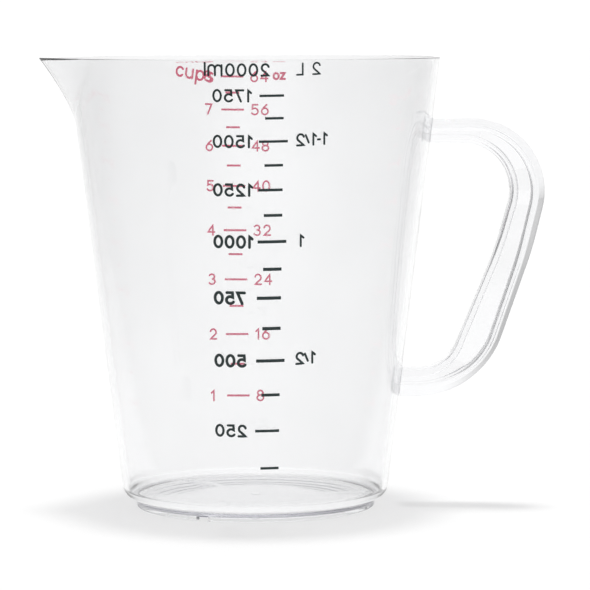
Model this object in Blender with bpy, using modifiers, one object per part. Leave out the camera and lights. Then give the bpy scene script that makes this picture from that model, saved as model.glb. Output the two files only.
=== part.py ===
"""A clear plastic 2 litre measuring jug: tapered body with a V-shaped lip, bonded D handle, two printed scales.

The frame is in metres with +Z up. The origin is on the surface that the jug stands on, midway between the tip
of the lip (-X) and the back of the handle (+X), so the jug's own axis stands at JUG_AXIS_X.
"""
import math

import bmesh
import bpy
from mathutils import Matrix, Vector

MM = 0.001

# Body
HEIGHT = 178.2 * MM
RIM_RADIUS = 73.6 * MM  # outside, at the rim
BASE_RADIUS = 52.1 * MM  # outside, where the wall's line meets the ground
WALL = 2.3 * MM
FLOOR_TOP = 4.4 * MM
FLOOR_CORNER = 2.0 * MM  # inside radius between floor and wall
HEEL_RADIUS = 5.2 * MM  # outside radius where the wall turns in to the foot
RIM_ROUND = 0.3 * MM

# Foot ring under the floor
FOOT_RADIUS = 47.6 * MM
FOOT_WIDTH = 2.7 * MM
FOOT_HEIGHT = 3.3 * MM  # outside, up to the heel
RECESS_DEPTH = 1.6 * MM  # under the floor, inside the ring
NOTCH_WIDTH = 5.2 * MM
NOTCH_HEIGHT = 2.6 * MM
NOTCH_ANGLES = [math.radians(5.0 + 120.0 * turn) for turn in range(3)]

# Lip
LIP_REACH = 84.9 * MM  # from the jug's axis to the tip
LIP_DEPTH = 28.5 * MM
LIP_CURVE = 1.5  # 1 makes the keel straight, more lets it curve out of the wall
KEEL_ROUND = 0.03  # radians over which the keel is rounded

# Handle
HANDLE_REACH = 114.9 * MM  # from the jug's axis to the back of the handle
HANDLE_THICKNESS = 12.0 * MM
HANDLE_ROUND = 4.3 * MM
BOND_GAP = 0.3 * MM

# Printed scales, as thin skins of ink just outside the wall
INK_GAP = 0.3 * MM
INK_THICKNESS = 0.2 * MM
INK_TOP = 173.8 * MM
METRIC_BOTTOM = 13.8 * MM
METRIC_CENTRE = math.radians(-86.0)
US_BOTTOM = 37.8 * MM
US_CENTRE = math.radians(99.0)
INK_HALF_ANGLE = math.radians(20.0)

COLUMNS = 80  # around the body
COLUMN_SHIFT = 0.5  # 0 spaces the columns evenly, towards 1 gathers them at the lip

JUG_AXIS_X = (LIP_REACH - HANDLE_REACH) / 2
JUG_AXIS = Vector((JUG_AXIS_X, 0, 0))


def clear_scene():
    for obj in list(bpy.data.objects):
        bpy.data.objects.remove(obj)


def new_collection(name):
    collection = bpy.data.collections.new(name)
    bpy.context.scene.collection.children.link(collection)
    return collection


def clear_plastic(name, colour):
    material = bpy.data.materials.new(name)
    material.use_nodes = True
    shader = material.node_tree.nodes["Principled BSDF"]
    shader.inputs["Base Color"].default_value = (*colour, 1)
    shader.inputs["Roughness"].default_value = 0.04
    shader.inputs["Transmission Weight"].default_value = 1.0
    shader.inputs["IOR"].default_value = 1.58
    return material


def ink(name, colour):
    material = bpy.data.materials.new(name)
    material.use_nodes = True
    shader = material.node_tree.nodes["Principled BSDF"]
    shader.inputs["Base Color"].default_value = (*colour, 1)
    shader.inputs["Roughness"].default_value = 0.45
    return material


def add_object(name, mesh, collection, material=None):
    obj = bpy.data.objects.new(name, mesh)
    collection.objects.link(obj)
    if material:
        mesh.materials.append(material)
        mesh.shade_smooth()
        mesh.set_sharp_from_angle(angle=math.radians(35))
    return obj


def mesh_from(bm, name):
    bmesh.ops.recalc_face_normals(bm, faces=bm.faces)
    mesh = bpy.data.meshes.new(name)
    bm.to_mesh(mesh)
    bm.free()
    return mesh


def cut(obj, cutter):
    cutter.hide_render = True
    cutter.display_type = "WIRE"
    boolean = obj.modifiers.new(f"cut by {cutter.name}", "BOOLEAN")
    boolean.operation = "DIFFERENCE"
    boolean.solver = "EXACT"
    boolean.object = cutter


def wall_radius(height):
    return BASE_RADIUS + (RIM_RADIUS - BASE_RADIUS) * height / HEIGHT


def round_corner(centre, radius, start, end, steps):
    """Points (radius, height) on an arc, from the start angle to the end angle, in degrees."""
    turns = [math.radians(start + (end - start) * step / steps) for step in range(steps + 1)]
    return [(centre[0] + radius * math.cos(turn), centre[1] + radius * math.sin(turn)) for turn in turns]


# Body

def lip_reach_at(height):
    """How far from the axis the lip's two sides would meet, or the wall's radius below the lip."""
    keel_foot = HEIGHT - LIP_DEPTH
    share = max(0.0, (height - keel_foot) / (LIP_DEPTH - RIM_ROUND)) ** LIP_CURVE
    sharp_tip = RIM_RADIUS / math.cos(math.acos(RIM_RADIUS / LIP_REACH) + KEEL_ROUND)
    return wall_radius(height) + (sharp_tip - RIM_RADIUS) * share


def lip_gain(angle_from_lip, height):
    """How much further out the wall stands than the plain cone: 1 away from the lip.

    Each level section is the cone's circle with two straight sides, tangent to it, that meet at the keel.
    """
    tangent_angle = math.acos(min(1.0, wall_radius(height) / lip_reach_at(height)))
    rounded_angle = math.hypot(angle_from_lip, KEEL_ROUND)
    return 1 / math.cos(max(0.0, tangent_angle - rounded_angle))


def column_angles():
    """Angles from the lip, closest together at the lip."""
    evenly = [math.tau * column / COLUMNS - math.pi for column in range(COLUMNS)]
    return [angle - COLUMN_SHIFT * math.sin(angle) for angle in evenly]


def wall_heights():
    """Heights between the heel and the rim: sparse on the plain cone, close over the lip."""
    keel_foot = HEIGHT - LIP_DEPTH
    plain = [keel_foot * share for share in (0.25, 0.5, 0.75)]
    top = HEIGHT - RIM_ROUND
    lip_rows = 9
    return plain + [keel_foot + (top - keel_foot) * row / lip_rows for row in range(lip_rows)]


def body_profile():
    """(radius, height) from the middle of the underside, out, up the wall, over the rim and down to the floor."""
    recess_radius = FOOT_RADIUS - FOOT_WIDTH
    foot = [(recess_radius, RECESS_DEPTH), (recess_radius, 0), (FOOT_RADIUS, 0), (FOOT_RADIUS, FOOT_HEIGHT)]
    heel_centre = (wall_radius(FOOT_HEIGHT + HEEL_RADIUS) - HEEL_RADIUS, FOOT_HEIGHT + HEEL_RADIUS)
    heel = round_corner(heel_centre, HEEL_RADIUS, -90, 0, 3)
    outside = [(wall_radius(height), height) for height in wall_heights()]
    rim_middle = HEIGHT - RIM_ROUND
    outer_rim = round_corner((RIM_RADIUS - RIM_ROUND, rim_middle), RIM_ROUND, 0, 90, 2)
    inner_rim = round_corner((RIM_RADIUS - WALL + RIM_ROUND, rim_middle), RIM_ROUND, 90, 180, 2)
    inside = [(radius - WALL, height) for radius, height in reversed(outside)]
    corner_height = FLOOR_TOP + FLOOR_CORNER
    corner_centre = (wall_radius(corner_height) - WALL - FLOOR_CORNER, corner_height)
    floor_corner = round_corner(corner_centre, FLOOR_CORNER, 0, -90, 3)
    return foot + heel + outside + outer_rim + inner_rim + inside + floor_corner


def section(bm, radius, height):
    """One level ring of the body, with the lip drawn out of it."""
    ring = []
    for angle in column_angles():
        reach = radius * lip_gain(angle, height)
        ring.append(bm.verts.new((-reach * math.cos(angle), -reach * math.sin(angle), height)))
    return ring


def bridge(bm, lower, upper):
    for column, vertex in enumerate(lower):
        bm.faces.new((lower[column - 1], vertex, upper[column], upper[column - 1]))


def body_mesh():
    bm = bmesh.new()
    rings = [section(bm, radius, height) for radius, height in body_profile()]
    for lower, upper in zip(rings, rings[1:]):
        bridge(bm, lower, upper)
    bm.faces.new(rings[0])
    bm.faces.new(rings[-1])
    return mesh_from(bm, "jug_body")


def notch_cutter(number, angle, cutters):
    """A block through the foot ring, to let water out from under the floor."""
    bm = bmesh.new()
    bmesh.ops.create_cube(bm, size=1)
    length = 2 * FOOT_WIDTH
    bmesh.ops.scale(bm, vec=(length, NOTCH_WIDTH, 2 * NOTCH_HEIGHT), verts=bm.verts)
    middle = FOOT_RADIUS - FOOT_WIDTH / 2
    place = Matrix.Rotation(angle, 4, "Z") @ Matrix.Translation((middle, 0, 0))
    bmesh.ops.transform(bm, matrix=place, verts=bm.verts)
    cutter = add_object(f"notch_cutter_{number}", mesh_from(bm, "notch"), cutters)
    cutter.location = JUG_AXIS
    return cutter


def build_body(parts, cutters):
    body = add_object("jug_body", body_mesh(), parts, clear_plastic("clear_body", (0.95, 0.96, 0.97)))
    body.location = JUG_AXIS
    for number, angle in enumerate(NOTCH_ANGLES):
        cut(body, notch_cutter(number, angle, cutters))


# Handle

def rounded_path(corners, steps=10):
    """Points along straight runs that are joined by arcs. A corner is (x, z, radius), all in millimetres."""
    points = [Vector(corners[0][:2])]
    for before, corner, after in zip(corners, corners[1:], corners[2:]):
        here = Vector(corner[:2])
        towards_start = (Vector(before[:2]) - here).normalized()
        towards_end = (Vector(after[:2]) - here).normalized()
        half_angle = towards_start.angle(towards_end) / 2
        bisector = (towards_start + towards_end).normalized()
        centre = here + bisector * (corner[2] / math.sin(half_angle))
        start = here + towards_start * (corner[2] / math.tan(half_angle)) - centre
        end = here + towards_end * (corner[2] / math.tan(half_angle)) - centre
        turn = start.angle_signed(end)
        arc_steps = max(2, round(steps * abs(turn)))
        for step in range(arc_steps + 1):
            points.append(centre + Matrix.Rotation(-turn * step / arc_steps, 2) @ start)
    points.append(Vector(corners[-1][:2]))
    return points


def handle_outline():
    """The side view of the handle, from the jug's axis, in millimetres. Both roots run into the wall."""
    outer = rounded_path([(68, 154.1, 0), (122.95, 154.1, 29), (110.05, 101.8, 150), (89.7, 43.6, 36), (54, 43.6, 0)])
    inner = rounded_path([(54, 54.6, 0), (75.9, 54.6, 16), (95.3, 101.8, 150), (107.4, 144.4, 19), (66, 144.4, 0)])
    return [point * MM for point in outer + inner]


def handle_curve():
    curve = bpy.data.curves.new("handle", "CURVE")
    curve.dimensions = "2D"
    curve.fill_mode = "BOTH"
    curve.bevel_depth = HANDLE_ROUND
    curve.bevel_resolution = 3
    curve.extrude = HANDLE_THICKNESS / 2 - HANDLE_ROUND
    curve.offset = -HANDLE_ROUND
    outline = handle_outline()
    spline = curve.splines.new("POLY")
    spline.points.add(len(outline) - 1)
    for point, place in zip(spline.points, outline):
        point.co = (place.x, place.y, 0, 1)
    spline.use_cyclic_u = True
    return curve


def welded_mesh(obj, name):
    """The evaluated mesh of a curve object, with its caps joined to its sides."""
    graph = bpy.context.evaluated_depsgraph_get()
    mesh = bpy.data.meshes.new_from_object(obj.evaluated_get(graph))
    bm = bmesh.new()
    bm.from_mesh(mesh)
    bmesh.ops.remove_doubles(bm, verts=bm.verts, dist=0.01 * MM)
    bmesh.ops.transform(bm, matrix=obj.matrix_world, verts=bm.verts)
    return mesh_from(bm, name)


def wall_cutter(cutters):
    """The body's outside as a plain cone, grown by the bond's gap."""
    bm = bmesh.new()
    bmesh.ops.create_cone(
        bm,
        cap_ends=True,
        segments=160,
        radius1=BASE_RADIUS + BOND_GAP,
        radius2=RIM_RADIUS + BOND_GAP,
        depth=HEIGHT,
    )
    cutter = add_object("wall_cutter", mesh_from(bm, "wall"), cutters)
    cutter.location = JUG_AXIS + Vector((0, 0, HEIGHT / 2))
    return cutter


def build_handle(parts, cutters):
    side_view = bpy.data.objects.new("handle_side_view", handle_curve())
    cutters.objects.link(side_view)
    side_view.rotation_euler.x = math.pi / 2
    bpy.context.view_layer.update()
    mesh = welded_mesh(side_view, "handle")
    bpy.data.objects.remove(side_view)
    handle = add_object("handle", mesh, parts, clear_plastic("clear_handle", (0.96, 0.96, 0.97)))
    handle.location = JUG_AXIS
    cut(handle, wall_cutter(cutters))


# Printed scales

def build_print(name, centre_angle, bottom, colour, parts):
    """A thin skin that covers one printed scale and follows the wall."""
    bm = bmesh.new()
    bmesh.ops.create_grid(bm, x_segments=12, y_segments=4, size=1)
    for vertex in bm.verts:
        angle = centre_angle + INK_HALF_ANGLE * vertex.co.x
        height = bottom + (INK_TOP - bottom) * (vertex.co.y + 1) / 2
        reach = wall_radius(height) + INK_GAP
        vertex.co = (reach * math.cos(angle), reach * math.sin(angle), height)
    skin = add_object(name, mesh_from(bm, name), parts, ink(f"{name}_ink", colour))
    skin.location = JUG_AXIS
    solidify = skin.modifiers.new("ink thickness", "SOLIDIFY")
    solidify.thickness = INK_THICKNESS
    solidify.offset = 1


def build():
    clear_scene()
    parts = new_collection("measuring_jug")
    cutters = new_collection("cutters")
    build_body(parts, cutters)
    build_handle(parts, cutters)
    build_print("metric_scale_print", METRIC_CENTRE, METRIC_BOTTOM, (0.01, 0.03, 0.03), parts)
    build_print("us_scale_print", US_CENTRE, US_BOTTOM, (0.7, 0.05, 0.08), parts)


build()
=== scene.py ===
"""Looks of the clear plastic 2 litre measuring jug: mouldings, printed scales, studio and camera.

Lengths are in metres, in the CAD model's own frame: +Z up, lip towards -X, handle towards +X.
"""
import math

import bmesh
import bpy
from mathutils import Matrix, Vector


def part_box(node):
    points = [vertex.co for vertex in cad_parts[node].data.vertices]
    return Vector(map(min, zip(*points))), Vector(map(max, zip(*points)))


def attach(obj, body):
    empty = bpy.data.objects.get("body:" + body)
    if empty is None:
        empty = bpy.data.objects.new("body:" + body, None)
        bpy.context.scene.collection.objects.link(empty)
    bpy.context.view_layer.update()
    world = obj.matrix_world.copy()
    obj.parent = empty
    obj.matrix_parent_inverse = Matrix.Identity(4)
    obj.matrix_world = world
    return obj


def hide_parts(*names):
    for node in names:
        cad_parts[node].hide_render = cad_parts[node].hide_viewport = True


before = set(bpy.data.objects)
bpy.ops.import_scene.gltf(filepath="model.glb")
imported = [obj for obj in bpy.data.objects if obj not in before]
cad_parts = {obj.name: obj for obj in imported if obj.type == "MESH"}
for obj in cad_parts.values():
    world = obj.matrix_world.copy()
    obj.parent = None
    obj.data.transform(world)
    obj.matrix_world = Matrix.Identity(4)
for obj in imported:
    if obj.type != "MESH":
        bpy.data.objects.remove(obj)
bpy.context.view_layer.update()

MM = 0.001
SMOOTH_UP_TO = math.radians(40)  # edges that bend more than this stay sharp

# Body: its height, axis and lip follow the CAD body's own box
body_low, body_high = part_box("jug_body")
HEIGHT = body_high.z
RIM_RADIUS = 73.6 * MM  # outside, at the rim
BASE_RADIUS = 52.1 * MM  # outside, where the wall's line meets the ground
AXIS = Vector((body_high.x - RIM_RADIUS, 0, 0))
WALL = 2.3 * MM
FLOOR_TOP = 4.4 * MM
FLOOR_CORNER = 2.0 * MM  # inside radius between floor and wall
HEEL_RADIUS = 5.2 * MM  # outside radius where the wall turns in to the foot
RIM_ROUND = 0.3 * MM

# Lip
LIP_REACH = AXIS.x - body_low.x
LIP_DEPTH = 28.5 * MM
LIP_CURVE = 1.5  # 1 makes the keel straight, more lets it curve out of the wall
KEEL_ROUND = 0.03  # radians around the axis, to each side, over which the keel is rounded

# Foot ring under the floor, and the mark that the moulding gate left inside it
FOOT_RADIUS = 47.6 * MM
FOOT_WIDTH = 2.7 * MM
FOOT_HEIGHT = 3.3 * MM  # outside, up to the heel
FOOT_ROUND = 0.35 * MM
RECESS_DEPTH = 1.6 * MM  # under the floor, inside the ring
NOTCH_WIDTH = 5.2 * MM
NOTCH_ANGLES = [math.radians(5.0 + 120.0 * turn) for turn in range(3)]
GATE_RADIUS = 2.0 * MM
GATE_HEIGHT = 0.6 * MM

# Handle: its thickness follows the CAD handle's own box
handle_low, handle_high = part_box("handle")
HANDLE_THICKNESS = handle_high.y - handle_low.y
BOND_GAP = 0.3 * MM

# The handle's two edges from the top root to the bottom root, as corners in millimetres: distance from the
# jug's axis, height, and the radius that rounds the corner
OUTER_EDGE = [(64, 154.1, 0), (122.95, 154.1, 29), (110.05, 101.8, 150), (89.7, 43.6, 36), (54, 43.6, 0)]
INNER_EDGE = [(64, 144.4, 0), (107.4, 144.4, 19), (95.3, 101.8, 150), (75.9, 54.6, 16), (54, 54.6, 0)]
EDGE_STEPS = 24  # on each rounded corner

# Along each edge of the handle the side slants up to a crest, and from there it falls into the groove
ARM_WIDTH = 11.2 * MM
ARM_GROOVE = 0.15 * MM
GRIP_WIDTH = 14.2 * MM
GRIP_GROOVE = 2.2 * MM
INNER_FLANK = 2.4 * MM  # from the inner edge to the crest
INNER_BEAD = 3.3 * MM  # from the inner edge to the bottom of the groove
INNER_SLOPE = math.radians(24)
OUTER_FLANK = 3.6 * MM
OUTER_BEAD = 5.1 * MM
OUTER_SLOPE = math.radians(22.5)
EDGE_ROUND = 0.6 * MM
BEAD_STEPS = 8

COLUMNS = 320  # around the body
COLUMN_SHIFT = 0.5  # 0 spaces the columns evenly, towards 1 gathers them at the lip


# Small helpers

def add_object(name, mesh):
    obj = bpy.data.objects.new(name, mesh)
    bpy.context.scene.collection.objects.link(obj)
    return obj


def mesh_from(bm, name):
    bmesh.ops.recalc_face_normals(bm, faces=bm.faces)
    mesh = bpy.data.meshes.new(name)
    bm.to_mesh(mesh)
    bm.free()
    mesh.shade_smooth()
    mesh.set_sharp_from_angle(angle=SMOOTH_UP_TO)
    return mesh


def cut_away(obj, cutters):
    """Subtracts the cutters from obj's mesh and removes them."""
    for cutter in cutters:
        boolean = obj.modifiers.new("cut", "BOOLEAN")
        boolean.operation = "DIFFERENCE"
        boolean.solver = "EXACT"
        boolean.object = cutter
    graph = bpy.context.evaluated_depsgraph_get()
    mesh = bpy.data.meshes.new_from_object(obj.evaluated_get(graph))
    obj.modifiers.clear()
    obj.data = mesh
    mesh.shade_smooth()
    mesh.set_sharp_from_angle(angle=SMOOTH_UP_TO)
    for cutter in cutters:
        bpy.data.objects.remove(cutter)


def place(piece, stands_for):
    """Makes a finished piece move with the root, and hides the CAD part that it stands for."""
    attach(piece, "root")
    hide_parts(stands_for)


def wall_radius(height):
    return BASE_RADIUS + (RIM_RADIUS - BASE_RADIUS) * height / HEIGHT


def round_corner(centre, radius, start, end, steps):
    """Points (radius, height) on an arc, from the start angle to the end angle, in degrees."""
    turns = [math.radians(start + (end - start) * step / steps) for step in range(steps + 1)]
    return [(centre[0] + radius * math.cos(turn), centre[1] + radius * math.sin(turn)) for turn in turns]


# Body

def lip_reach_at(height):
    """How far from the axis the lip's two sides would meet, or the wall's radius below the lip."""
    keel_foot = HEIGHT - LIP_DEPTH
    share = max(0.0, (height - keel_foot) / (LIP_DEPTH - RIM_ROUND)) ** LIP_CURVE
    sharp_tip = RIM_RADIUS / math.cos(math.acos(RIM_RADIUS / LIP_REACH) + KEEL_ROUND)
    return wall_radius(height) + (sharp_tip - RIM_RADIUS) * share


def lip_gain(angle_from_lip, height):
    """How much further out the wall stands than the plain cone: 1 away from the lip."""
    tangent_angle = math.acos(min(1.0, wall_radius(height) / lip_reach_at(height)))
    rounded_angle = math.hypot(angle_from_lip, KEEL_ROUND)
    return 1 / math.cos(max(0.0, tangent_angle - rounded_angle))


def column_angles():
    evenly = [math.tau * column / COLUMNS - math.pi for column in range(COLUMNS)]
    return [angle - COLUMN_SHIFT * math.sin(angle) for angle in evenly]


def wall_heights():
    """Heights between the heel and the rim: sparse on the plain cone, close over the lip."""
    keel_foot = HEIGHT - LIP_DEPTH
    plain_rows = 12
    plain = [keel_foot * row / plain_rows for row in range(1, plain_rows)]
    top = HEIGHT - RIM_ROUND
    lip_rows = 36
    return plain + [keel_foot + (top - keel_foot) * row / lip_rows for row in range(lip_rows)]


def body_profile():
    """(radius, height) from the middle of the underside, out, up the wall, over the rim and down inside."""
    recess = FOOT_RADIUS - FOOT_WIDTH
    gate = [
        (GATE_RADIUS * 0.2, RECESS_DEPTH - GATE_HEIGHT),
        (GATE_RADIUS * 0.7, RECESS_DEPTH - GATE_HEIGHT * 0.9),
        (GATE_RADIUS, RECESS_DEPTH),
    ]
    foot = [(recess * 0.5, RECESS_DEPTH)]
    foot += round_corner((recess - FOOT_ROUND, RECESS_DEPTH - FOOT_ROUND), FOOT_ROUND, 90, 0, 4)
    foot += round_corner((recess + FOOT_ROUND, FOOT_ROUND), FOOT_ROUND, 180, 270, 4)
    foot += round_corner((FOOT_RADIUS - FOOT_ROUND, FOOT_ROUND), FOOT_ROUND, 270, 360, 4)
    foot += round_corner((FOOT_RADIUS + FOOT_ROUND, FOOT_HEIGHT - FOOT_ROUND), FOOT_ROUND, 180, 90, 4)
    heel_centre = (wall_radius(FOOT_HEIGHT + HEEL_RADIUS) - HEEL_RADIUS, FOOT_HEIGHT + HEEL_RADIUS)
    heel = round_corner(heel_centre, HEEL_RADIUS, -90, 0, 8)
    outside = [(wall_radius(height), height) for height in wall_heights()]
    rim_middle = HEIGHT - RIM_ROUND
    outer_rim = round_corner((RIM_RADIUS - RIM_ROUND, rim_middle), RIM_ROUND, 0, 90, 5)
    inner_rim = round_corner((RIM_RADIUS - WALL + RIM_ROUND, rim_middle), RIM_ROUND, 90, 180, 5)
    inside = [(radius - WALL, height) for radius, height in reversed(outside)]
    corner_height = FLOOR_TOP + FLOOR_CORNER
    corner_centre = (wall_radius(corner_height) - WALL - FLOOR_CORNER, corner_height)
    floor_corner = round_corner(corner_centre, FLOOR_CORNER, 0, -90, 10)
    floor = [(corner_centre[0] * share, FLOOR_TOP) for share in (0.6, 0.2)]
    return gate + foot + heel + outside + outer_rim + inner_rim + inside + floor_corner + floor


def body_mesh():
    bm = bmesh.new()
    angles = column_angles()
    rings = []
    for radius, height in body_profile():
        reaches = [radius * lip_gain(angle, height) for angle in angles]
        rings.append([
            bm.verts.new((-reach * math.cos(angle), -reach * math.sin(angle), height))
            for angle, reach in zip(angles, reaches)
        ])
    for lower, upper in zip(rings, rings[1:]):
        for column, vertex in enumerate(lower):
            bm.faces.new((lower[column - 1], vertex, upper[column], upper[column - 1]))
    bm.faces.new(rings[0])
    bm.faces.new(rings[-1])
    bmesh.ops.translate(bm, vec=AXIS, verts=bm.verts)
    return mesh_from(bm, "jug_body_clear")


def notch_cutter(angle):
    bm = bmesh.new()
    bmesh.ops.create_cube(bm, size=1)
    bmesh.ops.scale(bm, vec=(2 * FOOT_WIDTH, NOTCH_WIDTH, 2 * RECESS_DEPTH), verts=bm.verts)
    middle = FOOT_RADIUS - FOOT_WIDTH / 2
    turn = Matrix.Translation(AXIS) @ Matrix.Rotation(angle, 4, "Z") @ Matrix.Translation((middle, 0, 0))
    bmesh.ops.transform(bm, matrix=turn, verts=bm.verts)
    return add_object("notch", mesh_from(bm, "notch"))


def make_body(material):
    body = add_object("clear_body", body_mesh())
    cut_away(body, [notch_cutter(angle) for angle in NOTCH_ANGLES])
    body.data.materials.append(material)
    place(body, "jug_body")


# Handle

def rounded_path(corners):
    """Points along straight runs joined by arcs, with the same number of points on every arc."""
    points = [Vector(corners[0][:2])]
    for before, corner, after in zip(corners, corners[1:], corners[2:]):
        here = Vector(corner[:2])
        towards_start = (Vector(before[:2]) - here).normalized()
        towards_end = (Vector(after[:2]) - here).normalized()
        half_angle = towards_start.angle(towards_end) / 2
        bisector = (towards_start + towards_end).normalized()
        centre = here + bisector * (corner[2] / math.sin(half_angle))
        start = here + towards_start * (corner[2] / math.tan(half_angle)) - centre
        end = here + towards_end * (corner[2] / math.tan(half_angle)) - centre
        turn = start.angle_signed(end)
        for step in range(EDGE_STEPS + 1):
            points.append(centre + Matrix.Rotation(-turn * step / EDGE_STEPS, 2) @ start)
    points.append(Vector(corners[-1][:2]))
    return points


def handle_edges():
    """Matching points along the inner and the outer edge, from the top root to the bottom root."""
    return [(near * MM, far * MM) for near, far in zip(rounded_path(INNER_EDGE), rounded_path(OUTER_EDGE))]


def bead(width, flank, slope, groove):
    """(distance from the edge, sideways) points: round the edge, up the flank and down into the groove."""
    half = HANDLE_THICKNESS / 2
    flank_start = EDGE_ROUND * (1 - math.sin(slope))
    edge_side = half - (flank - flank_start) * math.tan(slope) - EDGE_ROUND * math.cos(slope)
    points = round_corner((EDGE_ROUND, edge_side), EDGE_ROUND, 180, 90 + math.degrees(slope), BEAD_STEPS)
    for step in range(1, BEAD_STEPS + 1):
        distance = flank_start + (flank - flank_start) * step / BEAD_STEPS
        points.append((distance, half - (flank - distance) * math.tan(slope)))
    for step in range(1, BEAD_STEPS + 1):
        turn = math.pi / 2 * step / BEAD_STEPS
        points.append((flank + (width - flank) * math.sin(turn), half - groove * (1 - math.cos(turn))))
    return points


def groove_depth(width):
    """The arms are almost plain, and the grip is hollowed between its beads."""
    share = min(1.0, max(0.0, (width - ARM_WIDTH) / (GRIP_WIDTH - ARM_WIDTH)))
    return ARM_GROOVE + (GRIP_GROOVE - ARM_GROOVE) * share


def handle_section(width):
    """The bar's section as (depth from the inner edge, sideways) points: a groove between two beads."""
    groove = groove_depth(width)
    inner = bead(INNER_BEAD, INNER_FLANK, INNER_SLOPE, groove)
    outer = bead(OUTER_BEAD, OUTER_FLANK, OUTER_SLOPE, groove)
    outer = [(width - depth, sideways) for depth, sideways in reversed(outer)]
    near_side = inner + outer
    return near_side + [(depth, -sideways) for depth, sideways in reversed(near_side)]


def handle_mesh():
    bm = bmesh.new()
    rings = []
    for inner, outer in handle_edges():
        across = outer - inner
        direction = across.normalized()
        ring = []
        for depth, sideways in handle_section(across.length):
            spot = inner + direction * depth
            ring.append(bm.verts.new((spot.x, sideways, spot.y)))
        rings.append(ring)
    for before, after in zip(rings, rings[1:]):
        for corner, vertex in enumerate(before):
            bm.faces.new((before[corner - 1], vertex, after[corner], after[corner - 1]))
    bm.faces.new(rings[0])
    bm.faces.new(rings[-1])
    bmesh.ops.translate(bm, vec=AXIS, verts=bm.verts)
    return mesh_from(bm, "handle_clear")


def wall_cutter():
    bm = bmesh.new()
    bmesh.ops.create_cone(
        bm,
        cap_ends=True,
        segments=720,
        radius1=BASE_RADIUS + BOND_GAP,
        radius2=RIM_RADIUS + BOND_GAP,
        depth=HEIGHT,
    )
    bmesh.ops.translate(bm, vec=AXIS + Vector((0, 0, HEIGHT / 2)), verts=bm.verts)
    return add_object("wall", mesh_from(bm, "wall"))


def make_handle(material):
    handle = add_object("clear_handle", handle_mesh())
    cut_away(handle, [wall_cutter()])
    handle.data.materials.append(material)
    place(handle, "handle")


# Lettering: single strokes, on a grid where a digit is 1 high

def arc(x, y, radius_x, radius_y, start, end, steps=14):
    turns = [math.radians(start + (end - start) * step / steps) for step in range(steps + 1)]
    return [(x + radius_x * math.cos(turn), y + radius_y * math.sin(turn)) for turn in turns]


def oval(x, y, radius_x, radius_y):
    return arc(x, y, radius_x, radius_y, 90, 450, 28)


# Each letter: how far it moves the pen on, and its strokes
GLYPHS = {
    "0": (1.04, [oval(0.35, 0.5, 0.34, 0.5)]),
    "1": (0.70, [[(0.02, 0.76), (0.28, 1.0), (0.28, 0.0)]]),
    "2": (1.04, [arc(0.34, 0.68, 0.31, 0.32, 165, -38) + [(0.03, 0.0), (0.68, 0.0)]]),
    "3": (1.04, [arc(0.32, 0.75, 0.28, 0.25, 150, -80), arc(0.32, 0.27, 0.33, 0.27, 85, -150)]),
    "4": (1.04, [[(0.54, 0.0), (0.54, 1.0), (0.02, 0.3), (0.72, 0.3)]]),
    "5": (1.04, [[(0.64, 1.0), (0.12, 1.0), (0.09, 0.56)] + arc(0.33, 0.32, 0.35, 0.32, 128, -148)]),
    "6": (1.04, [oval(0.35, 0.32, 0.33, 0.32), [(0.54, 1.0), (0.26, 0.74), (0.06, 0.46)]]),
    "7": (1.00, [[(0.02, 1.0), (0.66, 1.0), (0.24, 0.0)]]),
    "8": (1.04, [oval(0.34, 0.76, 0.27, 0.24), oval(0.34, 0.27, 0.33, 0.27)]),
    "/": (0.44, [[(0.02, 0.22), (0.3, 0.9)]]),
    "-": (0.36, [[(0.0, 0.45), (0.2, 0.45)]]),
    " ": (0.56, []),
    "L": (0.80, [[(0.04, 1.0), (0.04, 0.0), (0.56, 0.0)]]),
    "l": (0.24, [[(0.04, 1.06), (0.04, 0.0)]]),
    "m": (1.54, [
        [(0.06, 0.9), (0.06, 0.0)],
        arc(0.36, 0.6, 0.3, 0.3, 180, 0) + [(0.66, 0.0)],
        arc(0.96, 0.6, 0.3, 0.3, 180, 0) + [(1.26, 0.0)],
    ]),
    "c": (0.84, [arc(0.31, 0.36, 0.31, 0.36, 40, 320)]),
    "u": (0.92, [
        [(0.02, 0.72)] + arc(0.31, 0.29, 0.29, 0.29, 180, 360) + [(0.6, 0.72)],
        [(0.6, 0.3), (0.6, 0.0)],
    ]),
    "p": (0.92, [oval(0.33, 0.36, 0.31, 0.36), [(0.02, 0.72), (0.02, -0.36)]]),
    "s": (0.74, [arc(0.28, 0.54, 0.22, 0.18, 40, 250) + arc(0.26, 0.18, 0.25, 0.18, 90, -140)]),
    "o": (0.88, [oval(0.33, 0.36, 0.32, 0.36)]),
    "z": (0.78, [[(0.02, 0.72), (0.54, 0.72), (0.02, 0.0), (0.56, 0.0)]]),
}


def text_strokes(text, left, bottom, size, slant=0.0):
    """Strokes, each a list of flat points, for text that starts at left, stands on bottom and may slant."""
    strokes = []
    turn = Matrix.Rotation(slant, 2)
    start = Vector((left, bottom))
    reach = 0.0
    for letter in text:
        width, lines = GLYPHS[letter]
        for line in lines:
            strokes.append([start + turn @ Vector(((reach + x) * size, y * size)) for x, y in line])
        reach += width
    return strokes


def text_end(text, size):
    """How far the last letter's last stroke reaches from the start of the text."""
    before = sum(GLYPHS[letter][0] for letter in text[:-1])
    return (before + max(x for line in GLYPHS[text[-1]][1] for x, _ in line)) * size


# Ink on the wall

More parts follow.
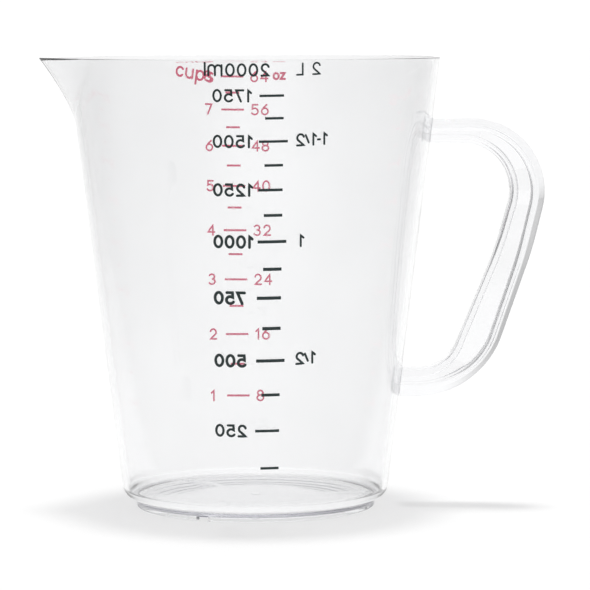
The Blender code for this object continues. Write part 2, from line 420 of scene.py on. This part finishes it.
APEX_ANGLE = math.atan((RIM_RADIUS - BASE_RADIUS) / HEIGHT)
APEX_HEIGHT = -BASE_RADIUS / math.tan(APEX_ANGLE)
ARTWORK_LEVEL = HEIGHT / 2  # where the flat artwork's level lines touch a level ring of the wall
INK_LIFT = 0.03 * MM
INK_FILM = 0.05 * MM
SCALE_FLOOR = 7.05 * MM  # above the real floor, which lifts every mark
LONGEST_STEP = 1.2 * MM  # along a stroke, so that it bends round the wall
MITRE_LIMIT = 0.55
END_CUTS = [math.radians(angle) for angle in (85, 60, 35, 15)]  # across a round end


def on_wall(flat, lift, centre_angle):
    """Wraps a point of the flat artwork (reading direction, height) round the cone without stretching."""
    slant = (ARTWORK_LEVEL - APEX_HEIGHT) / math.cos(APEX_ANGLE)
    upward = slant + (flat.y - ARTWORK_LEVEL) / math.cos(APEX_ANGLE)
    along = math.hypot(flat.x, upward)
    angle = centre_angle - math.atan2(flat.x, upward) / math.sin(APEX_ANGLE)
    reach = along * math.sin(APEX_ANGLE) + lift * math.cos(APEX_ANGLE)
    height = APEX_HEIGHT + along * math.cos(APEX_ANGLE) - lift * math.sin(APEX_ANGLE)
    return AXIS + Vector((reach * math.cos(angle), reach * math.sin(angle), height))


def finer(points):
    """The same line with no step longer than LONGEST_STEP."""
    result = [points[0]]
    for before, after in zip(points, points[1:]):
        steps = max(1, math.ceil((after - before).length / LONGEST_STEP))
        result += [before.lerp(after, step / steps) for step in range(1, steps + 1)]
    return result


def stroke_stations(points, half_width, round_ends):
    """(middle, sideways) for each cut across a stroke, and whether the stroke closes on itself."""
    points = finer(points)
    closed = (points[0] - points[-1]).length < 1e-6
    if closed:
        points = points[:-1]
    stations = []
    for index, point in enumerate(points):
        before = points[index - 1] if closed or index else point
        after = points[(index + 1) % len(points)] if closed or index < len(points) - 1 else point
        arriving = (point - before).normalized() if point != before else (after - point).normalized()
        leaving = (after - point).normalized() if after != point else arriving
        bisector = (arriving + leaving).normalized()
        stretch = 1 / max(MITRE_LIMIT, bisector.dot(arriving))
        stations.append((point, Vector((-bisector.y, bisector.x)) * half_width * stretch, bisector))
    plain = [(middle, side) for middle, side, _ in stations]
    if closed or not round_ends:
        return plain, closed
    first, first_side, first_way = stations[0]
    last, last_side, last_way = stations[-1]
    head = [(first - first_way * half_width * math.sin(cut), first_side * math.cos(cut)) for cut in END_CUTS]
    tail = [(last + last_way * half_width * math.sin(cut), last_side * math.cos(cut)) for cut in END_CUTS]
    return head + plain + tail[::-1], False


def add_stroke(bm, stroke, centre_angle):
    """One stroke of ink: a thin closed film that follows the wall."""
    points, half_width, round_ends = stroke
    stations, closed = stroke_stations(points, half_width, round_ends)
    rings = []
    for middle, side in stations:
        corners = [(middle + side, 0), (middle - side, 0), (middle - side, 1), (middle + side, 1)]
        ring = [on_wall(spot, INK_LIFT + INK_FILM * top, centre_angle) for spot, top in corners]
        rings.append([bm.verts.new(point) for point in ring])
    pairs = list(zip(rings, rings[1:]))
    if closed:
        pairs.append((rings[-1], rings[0]))
    for before, after in pairs:
        for corner in range(4):
            bm.faces.new((before[corner - 1], before[corner], after[corner], after[corner - 1]))
    if not closed:
        bm.faces.new(rings[0])
        bm.faces.new(rings[-1])


def make_print(name, strokes, centre_angle, material, stands_for):
    bm = bmesh.new()
    for stroke in strokes:
        add_stroke(bm, stroke, centre_angle)
    piece = add_object(name, mesh_from(bm, name))
    piece.data.materials.append(material)
    place(piece, stands_for)


def fill_height(litres):
    """The level that this volume reaches in the body, from the floor that the scales are set out for."""
    lower = wall_radius(SCALE_FLOOR) - WALL
    slope = (RIM_RADIUS - BASE_RADIUS) / HEIGHT
    volume = litres * 0.001
    upper = (lower ** 3 + 3 * slope * volume / math.pi) ** (1 / 3)
    return SCALE_FLOOR + (upper - lower) / slope


# The printed scales, in the flat artwork's own millimetres: x along the reading direction

METRIC_ANGLE = math.radians(-90)
METRIC_SIZE = 4.15
METRIC_LINE = 0.4  # half the width of a line
METRIC_SHARE = 1 / 8  # litres between two marks
METRIC_TICK = 9.2
METRIC_SHORT_TICK = 7.0
METRIC_LONG_TICK = 10.9
METRIC_TICK_START = -11.1
METRIC_TICK_SHARE = 1.12  # a mark's width over a figure's
METRIC_LONG_LEAD = 1.7
METRIC_TEXT_END = 14.3
METRIC_TOP_LEFT = -6.6
METRIC_TWO_LEFT = -26.2
METRIC_TWO_SHARE = 0.85
METRIC_TOP_SIZE = 4.2
METRIC_TOP_TEXT = HEIGHT / MM - 3.75
METRIC_RISE = 3.9  # how far the upper marks stand above their level
METRIC_RISE_BY = 0.5  # litres by which most of that rise is reached
HEAVY_LEVEL = 82  # the height where the ink is heaviest
HEAVY_SPREAD = 48
HEAVY_SHARE = 0.42

# Text, litres, where it starts, how far it stands above the mark, and its share of the line's width
LITRE_FIGURES = [("1-1/2", 1.5, -29.0, 0.3, 1.0), ("1", 1.0, -19.6, 0.0, 1.0), ("1/2", 0.5, -24.2, 0.4, 1.1)]

US_ANGLE = math.radians(90)
US_SIZE = 4.1
US_LINE = 0.36  # half the width of a line
US_HEADING_LINE = 0.46
US_TICK_LINE = 0.42
CUP = 0.2366  # litres
OUNCES_IN_CUP = 8
US_TICK = 9.8
US_SHORT_TICK = 6.0
US_TICK_MIDDLE = -9.3
US_CUPS_TEXT = -21.2
US_OUNCES_TEXT = -1.2
US_RISE = 3.6  # the most that a mark stands above its level
US_RISE_AT = 3.6  # cups, where that is
US_RISE_LOSS = 0.24  # for the square of each cup away from there
CUPS_LEFT, CUPS_RISE, CUPS_SIZE = -35.5, 2.4, 5.2
CUPS_SLANT = math.radians(-8)
OZ_LEFT, OZ_RISE, OZ_SIZE = 7.4, 0.6, 3.4

COLUMN_LEAN = 0.018  # how much each column of marks drifts along the reading direction, going down
LEAN_LEVEL = 105.8


def column_drift(height):
    return COLUMN_LEAN * (LEAN_LEVEL - height)


def metric_height(litres):
    """Where the mark is printed: a little above fill_height's level, except near the bottom."""
    rise = METRIC_RISE * (1 - math.exp(-((litres / METRIC_RISE_BY) ** 2)))
    return fill_height(litres) / MM + rise


def us_height(cups):
    """Where the mark is printed: above fill_height's level halfway up, and a little under it at the top."""
    rise = US_RISE - US_RISE_LOSS * (cups - US_RISE_AT) ** 2
    return fill_height(cups * CUP) / MM + rise


def artwork(points, half_width, round_ends=True):
    """A stroke in metres from one in millimetres."""
    return [Vector(point) * MM for point in points], half_width * MM, round_ends


def metric_weight(height):
    """Half the width of a black line: the ink is heaviest somewhat below the middle."""
    return METRIC_LINE * (1 + HEAVY_SHARE * math.exp(-(((height - HEAVY_LEVEL) / HEAVY_SPREAD) ** 2)))


def metric_strokes():
    """The litre scale."""
    strokes = []

    def write(text, left, height, weight, size=METRIC_SIZE):
        for stroke in text_strokes(text, left, height - size / 2, size):
            strokes.append(artwork(stroke, weight))

    for step in range(1, 15):
        height = metric_height(step * METRIC_SHARE)
        left = METRIC_TICK_START + column_drift(height)
        width = METRIC_SHORT_TICK if step % 2 else METRIC_TICK
        if step % 4 == 0:
            left -= METRIC_LONG_LEAD
            width = METRIC_LONG_TICK
        weight = metric_weight(height)
        ends = [(left, height), (left + width, height)]
        strokes.append(artwork(ends, weight * METRIC_TICK_SHARE, round_ends=False))
        if step % 2 == 0:
            text = str(round(1000 * step * METRIC_SHARE))
            write(text, METRIC_TEXT_END - text_end(text, METRIC_SIZE), height, weight)
    write("2000ml", METRIC_TOP_LEFT, METRIC_TOP_TEXT, METRIC_LINE, METRIC_TOP_SIZE)
    write("2 L", METRIC_TWO_LEFT, METRIC_TOP_TEXT, METRIC_LINE * METRIC_TWO_SHARE, METRIC_TOP_SIZE)
    for text, litres, left, rise, share in LITRE_FIGURES:
        write(text, left, metric_height(litres) + rise, METRIC_LINE * share)
    return strokes


def us_strokes():
    """The cup and ounce scale."""
    strokes = []

    def write(text, left, height, slant=0.0, size=US_SIZE, line=US_LINE):
        for stroke in text_strokes(text, left, height - size / 2, size, slant):
            strokes.append(artwork(stroke, line))

    for step in range(2, 17):
        height = us_height(step / 2)
        half_tick = (US_SHORT_TICK if step % 2 else US_TICK) / 2
        middle = US_TICK_MIDDLE + column_drift(height)
        ends = [(middle - half_tick, height), (middle + half_tick, height)]
        strokes.append(artwork(ends, US_TICK_LINE, round_ends=False))
        if step % 2 == 0:
            cups = step // 2
            write(str(cups), US_CUPS_TEXT + column_drift(height), height)
            write(str(cups * OUNCES_IN_CUP), US_OUNCES_TEXT + column_drift(height), height)
    top = us_height(8)
    write("cups", CUPS_LEFT, top + CUPS_RISE, CUPS_SLANT, CUPS_SIZE, US_HEADING_LINE)
    write("oz", OZ_LEFT, top + OZ_RISE, 0.0, OZ_SIZE, US_HEADING_LINE)
    return strokes


# Node helpers

def nodes_of(name):
    material = bpy.data.materials.new(name)
    material.use_nodes = True
    tree = material.node_tree
    return material, tree, tree.nodes["Principled BSDF"]


def add_node(tree, kind, **settings):
    """Adds a node. A setting is one of its properties, or a socket's name with underscores for spaces."""
    node = tree.nodes.new(kind)
    for key, value in settings.items():
        if hasattr(node, key):
            setattr(node, key, value)
        else:
            node.inputs[key.replace("_", " ")].default_value = value
    return node


def add_noise(tree, where, scale, detail):
    noise = add_node(tree, "ShaderNodeTexNoise", Scale=scale, Detail=detail)
    tree.links.new(where, noise.inputs["Vector"])
    return noise.outputs["Fac"]


def add_ramp(tree, value, start, end, low=0.0, high=1.0, shape="LINEAR"):
    """Low up to start, high from end on, and a ramp between."""
    ramp = add_node(tree, "ShaderNodeMapRange", From_Min=start, From_Max=end, To_Min=low, To_Max=high)
    ramp.interpolation_type = shape
    tree.links.new(value, ramp.inputs["Value"])
    return ramp.outputs["Result"]


def smooth_step(tree, value, start, end, low=0.0, high=1.0):
    return add_ramp(tree, value, start, end, low, high, "SMOOTHSTEP")


def mix_colours(tree, share, first, second):
    """The first colour where the share is 0, the second where it is 1."""
    mix = add_node(tree, "ShaderNodeMix", data_type="RGBA")
    mix.inputs[6].default_value = (*first, 1)
    mix.inputs[7].default_value = (*second, 1)
    tree.links.new(share, mix.inputs[0])
    return mix.outputs[2]


def add_relief(tree, shader, height, strength, distance):
    bump = add_node(tree, "ShaderNodeBump", Strength=strength, Distance=distance)
    tree.links.new(height, bump.inputs["Height"])
    tree.links.new(bump.outputs["Normal"], shader.inputs["Normal"])


def add_math(tree, operation, first, second):
    node = add_node(tree, "ShaderNodeMath", operation=operation)
    tree.links.new(first, node.inputs[0])
    tree.links.new(second, node.inputs[1])
    return node.outputs["Value"]


def vector_length(tree, vector):
    length = add_node(tree, "ShaderNodeVectorMath", operation="LENGTH")
    tree.links.new(vector, length.inputs[0])
    return length.outputs["Value"]


# Materials

PLASTIC_IOR = 1.58
PLASTIC_TINT = (0.985, 0.987, 0.99)
HAZE = 0.97  # the share of the tint that is left where the plastic is least clear
DEPTH_TINT = (0.80, 0.80, 0.83)
DEPTH_DENSITY = 18.0
RIPPLE_SCALE = 38.0
RIPPLE_DEPTH = 0.2 * MM
BODY_RIPPLE, HANDLE_RIPPLE = 0.25, 0.1
RUB_SCALE = 900.0
RUB_STRETCH = (1.0, 1.0, 0.06)  # long upright marks
RUB_START, RUB_FULL = 0.55, 0.8
SMOOTH, RUBBED = 0.012, 0.09  # roughness

# What each face of the plastic passes on to rays that left a matt surface, and to shadow rays
DIFFUSE_SHARE, SHADOW_SHARE = 0.97, 0.74

GRAIN_SCALE = 1400.0
GRAIN_STRENGTH = 0.3
GRAIN_DEPTH = 0.03 * MM
THIN_START, THIN_FULL = 0.5, 0.75
INK_GLOSSIEST, INK_DULLEST = 0.35, 0.6  # roughness
BLACK_INK, THIN_BLACK_INK = (0.004, 0.018, 0.018), (0.02, 0.05, 0.05)
RED_INK, THIN_RED_INK = (0.98, 0.07, 0.2), (0.98, 0.16, 0.3)


def pass_light(tree, look):
    """The same look, but rays from matt surfaces and shadow rays go straight through, a little dimmed."""
    ray = add_node(tree, "ShaderNodeLightPath")
    for kind, passed in (("Is Diffuse Ray", DIFFUSE_SHARE), ("Is Shadow Ray", SHADOW_SHARE)):
        straight = add_node(tree, "ShaderNodeBsdfTransparent", Color=(passed, passed, passed, 1))
        mix = add_node(tree, "ShaderNodeMixShader")
        tree.links.new(ray.outputs[kind], mix.inputs[0])
        tree.links.new(look, mix.inputs[1])
        tree.links.new(straight.outputs["BSDF"], mix.inputs[2])
        look = mix.outputs["Shader"]
    return look


def clear_plastic(name, ripple_strength):
    """Clear moulded plastic with faint flow ripples and fine upright rub marks."""
    material, tree, shader = nodes_of(name)
    shader.inputs["Transmission Weight"].default_value = 1.0
    shader.inputs["IOR"].default_value = PLASTIC_IOR
    where = add_node(tree, "ShaderNodeTexCoord").outputs["Object"]
    ripple = add_noise(tree, where, RIPPLE_SCALE, 1.0)
    stretched = add_node(tree, "ShaderNodeMapping", Scale=RUB_STRETCH)
    tree.links.new(where, stretched.inputs["Vector"])
    rub = add_noise(tree, stretched.outputs["Vector"], RUB_SCALE, 4.0)
    tree.links.new(add_ramp(tree, rub, RUB_START, RUB_FULL, SMOOTH, RUBBED), shader.inputs["Roughness"])
    add_relief(tree, shader, ripple, ripple_strength, RIPPLE_DEPTH)
    hazy = [value * HAZE for value in PLASTIC_TINT]
    tree.links.new(mix_colours(tree, ripple, PLASTIC_TINT, hazy), shader.inputs["Base Color"])
    absorb = add_node(tree, "ShaderNodeVolumeAbsorption", Density=DEPTH_DENSITY, Color=(*DEPTH_TINT, 1))
    output = tree.nodes["Material Output"]
    tree.links.new(pass_light(tree, shader.outputs["BSDF"]), output.inputs["Surface"])
    tree.links.new(absorb.outputs["Volume"], output.inputs["Volume"])
    return material


def ink(name, thick, thin):
    """Screen printed ink: uneven cover and a slightly pebbled surface."""
    material, tree, shader = nodes_of(name)
    where = add_node(tree, "ShaderNodeTexCoord").outputs["Object"]
    grain = add_noise(tree, where, GRAIN_SCALE, 3.0)
    thinness = add_ramp(tree, grain, THIN_START, THIN_FULL)
    tree.links.new(mix_colours(tree, thinness, thick, thin), shader.inputs["Base Color"])
    tree.links.new(add_ramp(tree, grain, 0.0, 1.0, INK_GLOSSIEST, INK_DULLEST), shader.inputs["Roughness"])
    add_relief(tree, shader, grain, GRAIN_STRENGTH, GRAIN_DEPTH)
    return material


# Studio: a white strip runs behind and over the jug, and its surroundings are greyer out to both sides. In
# the world that is dimmer light; on the floor that grey is painted shade

# Sideways parts of a direction, from -1 on the lip's side to 1 on the handle's side: where the white fades,
# and where the grey beside it goes from its darkest to plain
GREY_LEFT, WHITE_LEFT = -0.6, -0.05
WHITE_RIGHT, GREY_RIGHT = 0.15, 0.9
DARKEST_AT, PLAIN_FROM = -1.05, -0.35

# The world's light at its sides; the floor also takes these as colour, as painted shade
DARKEST_GREY, PLAIN_GREY = 0.2, 0.52
WORLD_WHITE = 1.08
STRIP_START = 1.2  # metres in front of the jug, where the white strip on the floor begins to widen
PAPER_WHITE = 0.91
PATCH_WHITE, PATCH_END = 0.2, 0.6  # metres around the jug, between which the white patch under it fades
FRONT_END, BACK_START = -0.9, -0.3  # depth parts of a direction, between which the world turns white
FLOOR_SIZE = 20
FLOOR_ROUGHNESS = 0.8
LAMP_STRENGTH = 1.3
LAMP_WIDTH = math.radians(8)
LAMP_LEAN = math.radians(-5)
LIGHT_BOUNCES = 40  # enough for light that is trapped in the foot ring and the rim


def sideways_part(tree, direction):
    parts = add_node(tree, "ShaderNodeSeparateXYZ")
    tree.links.new(direction, parts.inputs["Vector"])
    return add_math(tree, "DIVIDE", parts.outputs["X"], vector_length(tree, direction))


def share_of_white(tree, direction):
    """1 in the white strip, and 0 at its sides."""
    sideways = sideways_part(tree, direction)
    left = smooth_step(tree, sideways, GREY_LEFT, WHITE_LEFT)
    right = smooth_step(tree, sideways, WHITE_RIGHT, GREY_RIGHT, 1.0, 0.0)
    return add_math(tree, "MULTIPLY", left, right)


def side_grey(tree, direction):
    """The brightness beside the white strip, darkest straight out on the lip's side: the world's light
    there, and painted shade where the floor takes it as colour.
    """
    sideways = sideways_part(tree, direction)
    return smooth_step(tree, sideways, DARKEST_AT, PLAIN_FROM, DARKEST_GREY, PLAIN_GREY)


def floor_paint():
    """Pale around the jug and behind it, like a white studio sweep; farther out to the sides painted shade
    makes it greyer.
    """
    material, tree, shader = nodes_of("pale_floor")
    where = add_node(tree, "ShaderNodeTexCoord").outputs["Object"]
    from_start = add_node(tree, "ShaderNodeVectorMath", operation="ADD")
    from_start.inputs[1].default_value = (0, STRIP_START, 0)
    tree.links.new(where, from_start.inputs[0])
    direction = from_start.outputs["Vector"]
    near = smooth_step(tree, vector_length(tree, where), PATCH_WHITE, PATCH_END, 1.0, 0.0)
    paper_and_painted_shade = add_node(tree, "ShaderNodeMix", data_type="RGBA")
    tree.links.new(add_math(tree, "MAXIMUM", share_of_white(tree, direction), near), paper_and_painted_shade.inputs[0])
    # Painted shade: beyond the white patch and strip the floor's colour turns to the grey of the world's dim
    # sides
    tree.links.new(side_grey(tree, direction), paper_and_painted_shade.inputs[6])
    paper_and_painted_shade.inputs[7].default_value = (PAPER_WHITE, PAPER_WHITE, PAPER_WHITE, 1)
    tree.links.new(paper_and_painted_shade.outputs[2], shader.inputs["Base Color"])
    shader.inputs["Roughness"].default_value = FLOOR_ROUGHNESS
    shader.inputs["Specular IOR Level"].default_value = 0.0
    return material


def make_floor():
    bm = bmesh.new()
    bmesh.ops.create_grid(bm, x_segments=1, y_segments=1, size=FLOOR_SIZE)
    floor = add_object("studio_floor", mesh_from(bm, "studio_floor"))
    floor.data.materials.append(floor_paint())


def make_world():
    """White behind the jug and overhead, and darker at the sides and in front so that clear edges read."""
    world = bpy.data.worlds.new("studio")
    bpy.context.scene.world = world
    world.use_nodes = True
    tree = world.node_tree
    background = tree.nodes["Background"]
    where = add_node(tree, "ShaderNodeTexCoord").outputs["Generated"]
    parts = add_node(tree, "ShaderNodeSeparateXYZ")
    tree.links.new(where, parts.inputs["Vector"])
    not_in_front = smooth_step(tree, parts.outputs["Y"], FRONT_END, BACK_START)
    white = add_math(tree, "MULTIPLY", share_of_white(tree, where), not_in_front)
    strength = add_node(tree, "ShaderNodeMix", data_type="FLOAT", B=WORLD_WHITE)
    tree.links.new(white, strength.inputs["Factor"])
    tree.links.new(side_grey(tree, where), strength.inputs["A"])
    tree.links.new(strength.outputs["Result"], background.inputs["Strength"])
    background.inputs["Color"].default_value = (1, 1, 1, 1)


def add_overhead_lamp():
    """One broad soft lamp straight above, which draws the jug's own plan as its shadow."""
    light = bpy.data.lights.new("overhead", "SUN")
    light.energy = LAMP_STRENGTH
    light.angle = LAMP_WIDTH
    light.cycles.use_multiple_importance_sampling = False
    lamp = bpy.data.objects.new("overhead", light)
    bpy.context.scene.collection.objects.link(lamp)
    lamp.rotation_euler = (LAMP_LEAN, 0, 0)


def let_light_bounce():
    """Clear walls are crossed many times, and light that runs out of bounces would turn black."""
    cycles = bpy.context.scene.cycles
    cycles.max_bounces = LIGHT_BOUNCES
    cycles.transmission_bounces = LIGHT_BOUNCES
    cycles.glossy_bounces = LIGHT_BOUNCES
    cycles.transparent_max_bounces = LIGHT_BOUNCES


# Camera

CAMERA_DISTANCE = 1.19
CAMERA_HEIGHT = 0.1938
CAMERA_ASIDE = 16 * MM  # from the jug's axis towards the handle
CAMERA_TILT = math.atan(0.0925)  # down
CAMERA_ROLL = math.radians(0.15)
CAMERA_LENS = 183.0


def make_camera():
    camera = bpy.data.cameras.new("camera")
    camera.lens = CAMERA_LENS
    camera.sensor_width = 36
    camera.clip_start = 0.05
    camera.clip_end = 100
    holder = bpy.data.objects.new("camera", camera)
    bpy.context.scene.collection.objects.link(holder)
    holder.location = (AXIS.x + CAMERA_ASIDE, -CAMERA_DISTANCE, CAMERA_HEIGHT)
    aim = Matrix.Rotation(math.pi / 2 - CAMERA_TILT, 4, "X") @ Matrix.Rotation(-CAMERA_ROLL, 4, "Z")
    holder.rotation_euler = aim.to_euler()
    bpy.context.scene.camera = holder


def build():
    bpy.context.scene.view_settings.view_transform = "Standard"
    make_body(clear_plastic("clear_body_plastic", BODY_RIPPLE))
    make_handle(clear_plastic("clear_handle_plastic", HANDLE_RIPPLE))
    black = ink("black_ink", BLACK_INK, THIN_BLACK_INK)
    red = ink("red_ink", RED_INK, THIN_RED_INK)
    make_print("metric_scale", metric_strokes(), METRIC_ANGLE, black, "metric_scale_print")
    make_print("us_scale", us_strokes(), US_ANGLE, red, "us_scale_print")
    make_floor()
    make_world()
    add_overhead_lamp()
    let_light_bounce()
    make_camera()


build()
